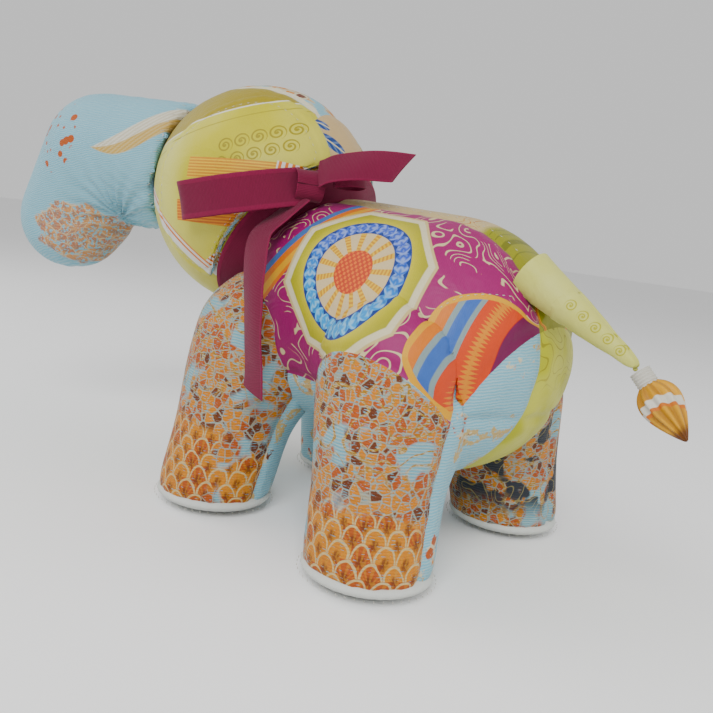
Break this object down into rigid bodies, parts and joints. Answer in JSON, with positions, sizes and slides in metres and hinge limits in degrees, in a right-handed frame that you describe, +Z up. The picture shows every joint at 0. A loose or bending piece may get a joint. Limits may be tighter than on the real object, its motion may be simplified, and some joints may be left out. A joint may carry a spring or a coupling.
{
  "type": "stuffed patchwork elephant",
  "caption": "Small stuffed elephant sewn from patchwork brocade and printed silk, standing on stubby legs, with trunk, flap ears, tail with tuft and a neck bow.",
  "frame": {"origin": "centre of the whole toy's bounding box, on the plane of the soles", "axes": "+X forward towards the trunk, +Y to the animal's left, +Z up"},
  "size_m": [0.313, 0.14, 0.1685],
  "materials": {
    "fibre_fill": "loose polyester fibre",
    "blue_brocade": "woven floral brocade, slight sheen",
    "scale_brocade": "woven scale-pattern brocade, slight sheen",
    "flank_silk": "printed silk twill, medallion print",
    "rump_silk": "printed silk twill",
    "olive_silk": "printed silk twill",
    "beige_silk": "printed silk twill",
    "ear_lining": "plain woven cloth",
    "sole_cloth": "plain white woven cloth",
    "chartreuse_silk": "printed silk twill",
    "gold_silk": "pleated silk",
    "white_binding": "stitched band",
    "ribbon": "matte woven ribbon"
  },
  "bodies": {
    "elephant": {"belly_gusset": "blue_brocade", "body_cover_left": "flank_silk", "body_cover_right": "flank_silk", "body_stuffing": "fibre_fill", "bow_knot": "ribbon", "bow_loop_right": "ribbon", "bow_tail_front_root": "ribbon", "forehead_gusset": "blue_brocade", "front_left_leg_inner": "blue_brocade", "front_left_leg_outer": "scale_brocade", "front_left_leg_stuffing": "fibre_fill", "front_left_sole": "sole_cloth", "front_right_leg_inner": "blue_brocade", "front_right_leg_outer": "scale_brocade", "front_right_leg_stuffing": "fibre_fill", "front_right_sole": "sole_cloth", "head_cover_left": "olive_silk", "head_cover_right": "olive_silk", "head_stuffing": "fibre_fill", "nape_cover": "beige_silk", "neck_ribbon": "ribbon", "rear_left_leg_inner": "blue_brocade", "rear_left_leg_outer": "scale_brocade", "rear_left_leg_stuffing": "fibre_fill", "rear_left_sole": "sole_cloth", "rear_right_leg_inner": "blue_brocade", "rear_right_leg_outer": "scale_brocade", "rear_right_leg_stuffing": "fibre_fill", "rear_right_sole": "sole_cloth", "rump_cover": "rump_silk", "trunk_cover_left": "blue_brocade", "trunk_cover_right": "blue_brocade", "trunk_stuffing": "fibre_fill"},
    "ear_left": {"ear_left_lining": "ear_lining", "ear_left_wadding": "fibre_fill", "ear_left_outer": "olive_silk"},
    "ear_right": {"ear_right_lining": "ear_lining", "ear_right_wadding": "fibre_fill", "ear_right_outer": "olive_silk"},
    "tail_knuckle": {"tail_knuckle": "chartreuse_silk"},
    "tail": {"tail_cover_left": "chartreuse_silk", "tail_cover_right": "chartreuse_silk", "tail_stuffing": "fibre_fill"},
    "tuft": {"tail_tuft": "gold_silk", "tuft_binding": "white_binding"},
    "bow_loop_left": {"bow_loop_left": "ribbon"},
    "bow_tail_front": {"bow_tail_front": "ribbon"},
    "bow_tail_back": {"bow_tail_back": "ribbon"}
  },
  "joints": [
    {"name": "ear_left_lift", "type": "hinge", "parent": "elephant", "child": "ear_left", "pos_m": [0.04959, 0.04681, 0.121], "axis": [0, 0, -1], "range_deg": [0, 3]},
    {"name": "ear_right_lift", "type": "hinge", "parent": "elephant", "child": "ear_right", "pos_m": [0.07719, -0.02902, 0.121], "axis": [0, 0, 1], "range_deg": [0, 60]},
    {"name": "tail_lift", "type": "hinge", "parent": "elephant", "child": "tail_knuckle", "pos_m": [-0.10504, 0.011, 0.1025], "axis": [0, 1, 0], "range_deg": [-8, 60]},
    {"name": "tail_swing", "type": "hinge", "parent": "tail_knuckle", "child": "tail", "pos_m": [-0.10504, 0.011, 0.1025], "axis": [-0.4947, 0, 0.8691], "range_deg": [-35, 25]},
    {"name": "tuft_flop", "type": "hinge", "parent": "tail", "child": "tuft", "pos_m": [-0.13754, 0.011, 0.084], "axis": [0, 1, 0], "range_deg": [-25, 40]},
    {"name": "bow_loop_lift", "type": "hinge", "parent": "elephant", "child": "bow_loop_left", "pos_m": [-0.0065, 0.03141, 0.12504], "axis": [0.1917, 0.1527, 0.9695], "range_deg": [0, 20]},
    {"name": "front_end_swing", "type": "hinge", "parent": "elephant", "child": "bow_tail_front", "pos_m": [-0.01234, 0.0512, 0.091], "axis": [0.9656, -0.2414, 0.0966], "range_deg": [0, 60]},
    {"name": "back_end_swing", "type": "hinge", "parent": "elephant", "child": "bow_tail_back", "pos_m": [-0.01804, 0.025, 0.1335], "axis": [0, 0, 1], "range_deg": [-15, 25]}
  ]
}
